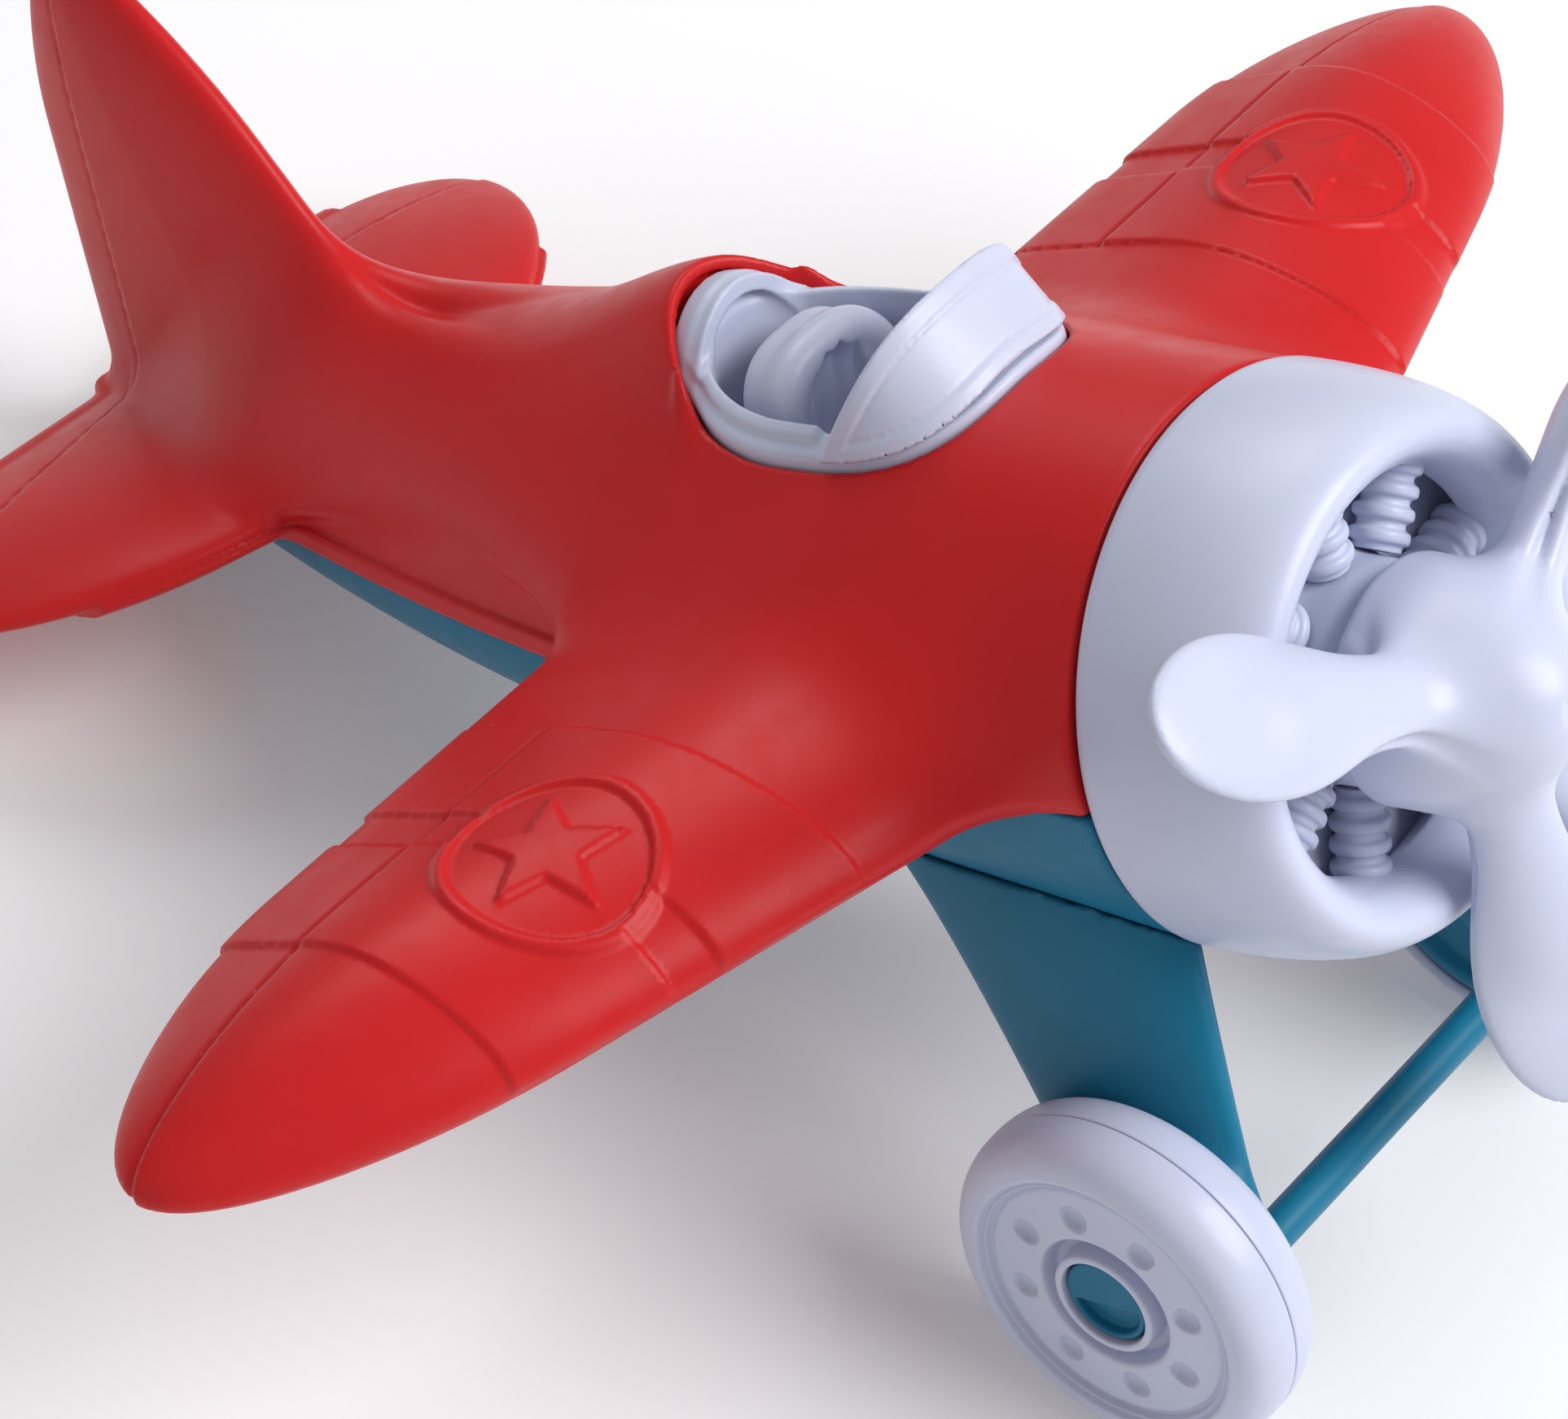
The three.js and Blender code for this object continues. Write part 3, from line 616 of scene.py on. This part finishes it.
# ---- landing gear ----
def gear_leg(x, y, z):
    ax = np.abs(x)
    top = -0.5 * R
    t = np.clip((top - z) / (top - AXLE_Z), 0, 1.1)
    front = mix(0.03 * R, -0.23 * R, t)
    rear = mix(1.42 * R, 0.52 * R, t**0.72)
    out = mix(0.62 * R, 1.03 * R, t**0.85)
    half_thick = mix(0.21 * R, 0.09 * R, t)
    blade = ellipse(y - (front + rear) / 2, ax - out, (rear - front) / 2, half_thick) * 0.92
    blade = soft_max(blade, AXLE_Z - 0.1 * R - z, 2)
    blade = soft_max(blade, z - top, 1)
    radius = np.hypot(y - AXLE_Y, z - AXLE_Z)
    along = ax - WHEEL_X
    disc = np.maximum(radius - 0.485 * R, np.abs(along + 4.4) - 1.7)
    rim = np.hypot(radius - 0.435 * R, along + 6.0) - 1.5
    leg = soft_min(soft_min(disc, rim, 1.2), blade, 0.1 * R)
    leg = np.maximum(leg, along + 2.7)
    socket = np.maximum(radius - LEG_SOCKET_RADIUS, -along - 8)
    leg = np.maximum(leg, -socket)
    bar = np.maximum(np.hypot(y - BAR_Y, z - BAR_Z) - 2.65, ax - WHEEL_X + 6)
    leg = np.maximum(leg, -bar)
    return np.maximum(leg, -(fuselage(x, y, z) - 0.1))


SKID_FOOT = (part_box("tail_skid")[0][2] - SEAM[2]) / MM


def tail_skid(x, y, z):
    level = z * math.cos(PITCH) - y * math.sin(PITCH)
    aft = y - 5.2 * R
    rise = np.clip(z + 0.15 * R, 0, 12)
    post = ellipse(x, aft - 0.15 * rise, 2.6 + 0.14 * rise, 5 + 0.5 * rise)
    post = soft_max(post, SKID_FOOT + 0.02 - level, 0.5)
    return np.maximum(post, -(fuselage(x, y, z) - GAP))


# ---- cockpit ----
def deck(x, y):
    """Height of the red skin over the cockpit opening."""
    half = R * (1 - (np.clip(y, 0, FUSELAGE_LENGTH) / TAPER_LENGTH) ** CHEEK_POWER)
    return TAIL_RISE * y + np.sqrt(np.maximum(half**2 - x**2, 1))


def cockpit_tub(x, y, z):
    hull = fuselage(x, y, z)
    column = cockpit_column(x, y)
    flange = soft_max(column + GAP, hull - 0.7, 0.6)
    flange = soft_max(flange, -(column + 2.2), 0.4)
    rim_top = mix(0.7, 1.5, ramp(y, 1.26 * R, 1.3 * R))
    rim = soft_max(column + 1.8, hull - rim_top, 0.5)
    rim = soft_max(rim, -(column + 3.3), 0.5)
    tub = soft_min(flange, rim, 0.3)
    tub = soft_max(tub, 0.3 * R - z, 0.6)
    floor = soft_max(column + 2, np.abs(z - 0.34 * R) - 1.1, 0.6)
    tub = soft_min(tub, floor, 1.5)
    shell = headrest(x, y, z, 2.1)
    wall = soft_max(shell, np.abs(y - 2.06 * R) - 1.3, 0.7)
    hood = np.maximum(np.abs(shell + 1.0) - 1.0, np.maximum(ARCH_Y + 0.6 - y, y - 2.08 * R))
    bulkhead = soft_max(soft_min(wall, hood, 1.2), 0.6 * R - z, 0.6)
    return soft_min(tub, bulkhead, 1.6)


def pilot_seat(x, y, z):
    lean = 0.12 * (z - 0.4 * R)
    back_y = y - 1.62 * R - lean
    high = z - 0.68 * R
    outline = oval(x, -np.maximum(high, 0), 0.335 * R, 0.4 * R, R)
    slab = soft_max(outline, np.abs(back_y) - 3.4, 1.6)
    roll = np.hypot(outline + 1.7, back_y + 2.2) - 2.2
    back = soft_min(slab, roll, 1.0)
    scoop = ellipsoid(x, back_y + 5.0, z - 0.74 * R, 0.21 * R, 4.9, 0.29 * R)
    flutes = 0.6 * np.abs(np.cos(x * math.pi / SEAT_FLUTE))
    back = soft_max(back, -(scoop + flutes), 0.5)
    cushion = box_field(x, y - 1.42 * R, z - 0.44 * R, (0.27 * R, 0.27 * R, 2.6), 1.8)
    seat = soft_min(back, cushion, 1.6)
    return soft_max(seat, 0.385 * R - z, 0.4)


def windscreen(x, y, z):
    """A visor that leans back, with a border along its top edge and another along its base."""
    rise = (z - R) / (0.5 * R)
    sheet = oval(x, y - COCKPIT_Y, R * (0.495 - 0.075 * rise), R * (0.715 - 0.33 * rise), 0.6 * R)
    below_top = (z - 1.22 * R + 1.45 * (y - 1.03 * R)) / 1.76
    above_deck = z - deck(x, y)
    border = np.minimum(-below_top, above_deck - 0.6) - 2.3
    sheet = sheet * 0.83 + 0.2 * ramp(border, -0.15, 0.15)
    groove = 0.14 * np.clip(1 - (border / 0.3) ** 2, 0, 1)
    sheet = soft_max(np.abs(sheet) - 0.95 + groove, below_top, 0.6)
    sheet = soft_max(sheet, 1.2 - above_deck, 0.3)
    return soft_max(sheet, y - 1.32 * R, 1.0)


# ---- propeller ----
def propeller(x, y, z):
    radius = np.hypot(x, z)
    forward = -y - 0.62 * R
    body = ellipse(radius, np.maximum(forward, 0), 0.43 * R, 0.685 * R)
    body = soft_max(body, -forward, 1.0)
    for i in range(BLADES):
        angle = math.pi / 6 + 2 * math.pi * i / BLADES
        out = x * math.cos(angle) + z * math.sin(angle)
        side = z * math.cos(angle) - x * math.sin(angle)
        pitch = -np.radians(mix(48, 28, smooth(out / PROP_RADIUS)))
        across = side * np.cos(pitch) + (y - PROP_PLANE) * np.sin(pitch)
        through = (y - PROP_PLANE) * np.cos(pitch) - side * np.sin(pitch)
        paddle = ellipsoid(out - 1.2 * R, across, through, 0.485 * R, 0.275 * R, 1.7) - 0.3
        reach = np.clip(out / R, 0, 1.2)
        neck = ellipse(across, through, R * mix(0.2, 0.095, smooth(reach / 0.75)),
                       mix(4.6, 2.0, smooth(reach / 0.8)))
        neck = soft_max(neck, np.maximum(-out, out - 1.1 * R), 6)
        body = soft_min(body, soft_min(neck, paddle, 0.22 * R), 0.13 * R)
    socket = np.maximum(radius - 2.5, -y - 0.95 * R)
    body = np.maximum(body, -socket)
    dimple = np.sqrt(radius**2 + (y + 1.335 * R) ** 2) - 2.3
    return soft_max(body, -dimple, 0.4)


# ---- fields to pieces ----
def moulded(name, field, low, high, step, material, stands_for, body="airframe",
            mirrored=False):
    points, quads = surface_net(field, np.array(low) * R, np.array(high) * R, step, mirrored)
    return new_piece(name, points, quads, material, body, stands_for)


moulded("upper_shell_moulding", upper_shell, (0, -0.1, -0.35), (3.95, 5.85, 2.5), 0.5, RED,
        ["upper_shell"], mirrored=True)
moulded("belly_moulding", belly, (0, -0.1, -1.1), (1.1, 5.85, 0.4), 0.6, BLUE,
        ["belly_shell"], mirrored=True)
for label, side in SIDES:
    span = sorted((1.2 * side, 3.95 * side))
    moulded(f"wing_cover_plate_{label}", wing_cover, (span[0], -0.1, -0.4), (span[1], 2.4, 0.4),
            0.6, RED, [f"wing_cover_{label}"])
    span = sorted((0.3 * side, 1.25 * side))
    moulded(f"gear_leg_moulding_{label}", gear_leg, (span[0], -0.5, -2.4), (span[1], 1.6, -0.4),
            0.5, BLUE, [f"gear_leg_{label}"])
moulded("tail_skid_moulding", tail_skid, (-0.3, 4.7, -0.4), (0.3, 5.8, 0.4), 0.4, BLUE,
        ["tail_skid"])
moulded("cockpit_tub_moulding", cockpit_tub, (0, 0.6, 0.2), (0.6, 2.3, 1.4), 0.35, WHITE,
        ["cockpit_tub"], mirrored=True)
moulded("pilot_seat_moulding", pilot_seat, (0, 1.0, 0.3), (0.4, 2.1, 1.15), 0.35, WHITE,
        ["pilot_seat"], mirrored=True)
moulded("windscreen_moulding", windscreen, (0, 0.55, 0.8), (0.6, 1.4, 1.6), 0.35, WHITE,
        ["windscreen"], mirrored=True)
moulded("propeller_moulding", propeller, (-1.75, -1.4, -1.75), (1.75, -0.5, 1.2), 0.5, WHITE,
        ["propeller"], body="propeller_body")

# ---- cowling and engine ----
COWL_LENGTH = 0.7 * R


def cowling():
    """A deep ring that rolls smoothly over its lip into the mouth."""
    bulge, crest, mouth = 1.01 * R, 0.83 * R, 0.695 * R
    quarter = np.linspace(0, math.pi / 2, 30)
    nose = [(mix(1.2, COWL_LENGTH, math.sin(t) ** 0.9), mix(crest, bulge, math.cos(t) ** 0.9), 0)
            for t in quarter]
    lip = [(COWL_LENGTH - 0.26 * R * (1 - math.cos(t)), mix(crest, mouth, math.sin(t)), 0)
           for t in quarter[2:]]
    corners = [(0.3, R - 2.0, 0.5), (0.3, R - 0.3, 0.4), *nose, *lip,
               (COWL_LENGTH - 10.5, 0.75 * R, 3), (COWL_LENGTH - 13.0, 0.82 * R, 3),
               (4.0, R - 3.4, 3)]
    turned("cowling_moulding", corners, 224, about_thrust, WHITE, "airframe",
           ["cowling"], closed=True)


def engine():
    case = [(6.9, 2.5, 0.3), (6.9, 0.84 * R, 0.6), (9.1, 0.84 * R, 0.6), (9.1, 0.43 * R, 1.2),
            (12.0, 0.39 * R, 3), (16.5, 0.385 * R, 2), (18.9, 0.34 * R, 0.8), (18.9, 2.5, 0.3)]
    turned("crankcase_moulding", case, 128, about_thrust, WHITE, "airframe",
           ["engine_crankcase"], closed=True)
    for i in range(CYLINDERS):
        cylinder(i)


def cylinder(i):
    """One dummy cylinder: a round core with ring fins, standing out from the crankcase."""
    root, head, core, over = 0.4 * R, 0.745 * R, 2.6, 3.35
    fins = 4
    corners = [(root, 0, 0), (root, core, 0.2)]
    for k in range(fins):
        middle = mix(root + 1.6, head - 1.7, k / (fins - 1))
        corners += [(middle - 0.9, core, 0.4), (middle - 0.55, over, 0.5),
                    (middle + 0.55, over, 0.5), (middle + 0.9, core, 0.4)]
    corners += [(head, core, 0.9), (head, 0, 0)]
    angle = 2 * math.pi * i / CYLINDERS

    def place(points):
        out, u, v = points.T
        x = out * math.sin(angle) + u * math.cos(angle)
        z = out * math.cos(angle) - u * math.sin(angle)
        return np.stack([x, v - 0.4 * R, z], axis=1)

    turned(f"cylinder_moulding_{i + 1}", corners, 48, place, WHITE, "airframe",
           [f"engine_cylinder_{i + 1}"], spacing=0.6)


cowling()
engine()
turned("shaft", [(2.3, 0, 0), (2.3, 2.2, 0.5), (0.94 * R, 2.2, 0.4), (0.94 * R, 0, 0)], 48,
       about_thrust, WHITE, "propeller_body", ["propeller_shaft"])
turned("snap_collar", [(3.9, 2.4, 0.3), (3.9, 5, 0.6), (6.5, 5, 0.6), (6.5, 2.4, 0.3)], 64,
       about_thrust, WHITE, "propeller_body", ["shaft_collar"], closed=True,
       spacing=0.6)

# ---- wheels and axles ----
FACE = TYRE_HALF_WIDTH
TREAD_POWER = 2.4              # 2 is a circular tread, and more is a squarer one
DIMPLES = 8
DIMPLE_CIRCLE = 0.364 * R
DIMPLE_RADIUS = 1.65
DIMPLE_DEPTH = 1.15
FIRST_DIMPLE = math.radians(-48)


def tyre(start, end, count):
    """Rounded tread between two distances from the middle of the tyre."""
    points = []
    for along in np.linspace(start, end, count):
        share = abs(along) / TYRE_HALF_WIDTH
        bulge = max(0, 1 - share**TREAD_POWER) ** (1 / TREAD_POWER)
        points.append((along, mix(0.77, 1, bulge) * WHEEL_RADIUS, 0))
    return points


def wheel_face(along, radius, angle):
    """Round dimples in the outer face."""
    depth = 0
    for k in range(DIMPLES):
        at = FIRST_DIMPLE + 2 * math.pi * k / DIMPLES
        away = np.hypot(radius * np.cos(angle) - DIMPLE_CIRCLE * math.cos(at),
                        radius * np.sin(angle) - DIMPLE_CIRCLE * math.sin(at))
        bowl = np.sqrt(np.clip(1 - (away / DIMPLE_RADIUS) ** 2, 0, 1))
        depth = depth + DIMPLE_DEPTH * bowl
    return depth * (along > FACE - 2.2)


def wheels(label, side):
    outer = [(0.06, WHEEL_RADIUS - 2.2, 0.3), (0.06, WHEEL_RADIUS - 0.1, 0.1),
             *tyre(0.2, TYRE_HALF_WIDTH * 0.995, 26),
             (FACE - 0.1, 0.53 * R, 0.6), (FACE - 0.9, 0.515 * R, 0.3),
             (FACE - 0.5, 0.505 * R, 0.4), (FACE - 1.5, 0.49 * R, 0.4),
             (FACE - 1.1, 0.475 * R, 0.5), (FACE - 0.7, 0.27 * R, 0.6),
             (FACE - 3.2, 0.25 * R, 0.5), (FACE - 3.2, 0.212 * R, 0.4),
             (FACE - 0.4, 0.205 * R, 0.5), (FACE - 0.4, 5.45, 0.4),
             (2.3, 5.45, 0.2), (2.3, 3.5, 0.2), (-2.2, 3.5, 0.2),
             (-2.2, 5.4, 0.4), (1.2, 5.4, 0.4), (1.2, 0.25 * R, 0.6), (FACE - 3.4, 0.3 * R, 0.6),
             (FACE - 3.4, 0.72 * WHEEL_RADIUS, 1.0)]
    turned(f"wheel_outer_moulding_{label}", outer, 320, about_axle(side), WHITE,
           f"wheel_{label}_body", [f"wheel_outer_{label}"], closed=True, spacing=0.3,
           relief=wheel_face)
    opening = 0.8 * WHEEL_RADIUS
    inner = [(-0.06, WHEEL_RADIUS - 2.2, 0.3), (-0.06, WHEEL_RADIUS - 0.1, 0.1),
             *tyre(-0.2, -TYRE_HALF_WIDTH * 0.96, 26), (-TYRE_HALF_WIDTH, opening + 0.9, 0.6),
             (-TYRE_HALF_WIDTH + 0.5, opening, 0.6), (-TYRE_HALF_WIDTH * 0.5, opening + 0.6, 1.0)]
    turned(f"wheel_inner_moulding_{label}", inner, 192, about_axle(side), WHITE,
           f"wheel_{label}_body", [f"wheel_inner_{label}"], closed=True, spacing=0.8)
    pin = [(-9, 0, 0), (-9, 3.2, 0.5), (2.6, 3.2, 0.2), (2.6, 5.15, 0.2), (5.3, 5.15, 0.5),
           (5.3, 4.3, 0.1), (5.3, 0, 0)]
    turned(f"axle_pin_moulding_{label}", pin, 128, about_axle(side), BLUE,
           "airframe", [f"axle_pin_{label}"], spacing=0.25, relief=pin_head)


def pin_head(along, radius, angle):
    """The lower half of the pin's head is set back inside a rim."""
    lower = ramp(-radius * np.sin(angle), 0.4, 0.8)
    return 1.2 * lower * ramp(-radius, -4.5, -4.1) * (along > 5)


for label, side in SIDES:
    wheels(label, side)


def spreader_bar():
    """A round bar that flares a little where it enters each leg."""
    half, radius = WHEEL_X - 6.4, 2.35
    corners = [(-half, 0, 0), (-half, radius, 0.2), (-half + 5, radius, 1), (0, radius * 0.97, 8),
               (half - 5, radius, 1), (half, radius, 0.2), (half, 0, 0)]

    def place(points):
        return np.stack([points[:, 0], points[:, 1] + BAR_Y, points[:, 2] + BAR_Z], axis=1)

    turned("spreader_bar_moulding", corners, 64, place, BLUE, "airframe",
           ["spreader_bar"], spacing=2)


spreader_bar()


# ---- camera, floor and light ----
def aim(azimuth, elevation, roll):
    """The camera's axes in the airframe: right, up and backward."""
    az, el, tilt = (math.radians(angle) for angle in (azimuth, elevation, roll))
    back = np.array([math.sin(az) * math.cos(el), -math.cos(az) * math.cos(el), math.sin(el)])
    right = np.cross(-back, [0, 0, 1])
    right /= np.linalg.norm(right)
    up = np.cross(right, -back)
    return (right * math.cos(tilt) + up * math.sin(tilt),
            up * math.cos(tilt) - right * math.sin(tilt), back)


def camera():
    right, up, back = aim(azimuth=-40.5, elevation=30.0, roll=-19.1)
    target = np.array([-0.701, 1.62, -0.053]) * R
    distance = 20.7 * R
    place = on_stand([target + back * distance])[0]
    base = on_stand([[0, 0, 0]])[0]
    axes = [on_stand([v])[0] - base for v in (right, up, back)]
    axes = [v / np.linalg.norm(v) for v in axes]
    matrix = Matrix([[*row] for row in np.array(axes).T]).to_4x4()
    matrix.translation = Vector(place)
    data = bpy.data.cameras.new("camera")
    data.sensor_width = 36
    data.lens = 135.8
    data.clip_end = 20
    view = bpy.data.objects.new("camera", data)
    view.matrix_world = matrix
    bpy.context.scene.collection.objects.link(view)
    bpy.context.scene.camera = view


def floor():
    """A sheet of pale paper, lit a little from within so that it stays near white."""
    half = 3.0
    below_wheels = 0.0003
    mesh = bpy.data.meshes.new("floor")
    mesh.from_pydata([(-half, -half, 0), (half, -half, 0), (half, half, 0), (-half, half, 0)], [],
                     [(0, 1, 2, 3)])
    plane = bpy.data.objects.new("floor", mesh)
    plane.location.z = -below_wheels
    material = bpy.data.materials.new("floor_paper")
    material.use_nodes = True
    shader = material.node_tree.nodes["Principled BSDF"]
    shader.inputs["Base Color"].default_value = (0.8, 0.8, 0.81, 1)
    shader.inputs["Roughness"].default_value = 0.9
    shader.inputs["Emission Color"].default_value = (1, 1, 1, 1)
    shader.inputs["Emission Strength"].default_value = 0.13
    mesh.materials.append(material)
    bpy.context.scene.collection.objects.link(plane)


def lamp(name, place, aim_at, size, power):
    data = bpy.data.lights.new(name, "AREA")
    data.shape = "DISK"
    data.size = size
    data.energy = power
    light = bpy.data.objects.new(name, data)
    light.location = place
    direction = Vector(aim_at) - Vector(place)
    light.rotation_euler = direction.to_track_quat("-Z", "Y").to_euler()
    bpy.context.scene.collection.objects.link(light)


def studio():
    world = bpy.data.worlds.new("studio")
    world.use_nodes = True
    sky = world.node_tree.nodes["Background"]
    sky.inputs["Color"].default_value = (0.95, 0.97, 1.0, 1)
    sky.inputs["Strength"].default_value = 0.34
    bpy.context.scene.world = world
    bpy.context.scene.view_settings.view_transform = "Standard"
    middle = (0, 0, 0.06)
    lamp("key", (0.3, -0.75, 0.85), middle, 0.8, 12.5)
    lamp("fill", (-1.0, 0.1, 0.6), middle, 1.3, 0.8)
    lamp("back", (0.5, 0.8, 1.0), middle, 0.8, 5)


camera()
floor()
studio()
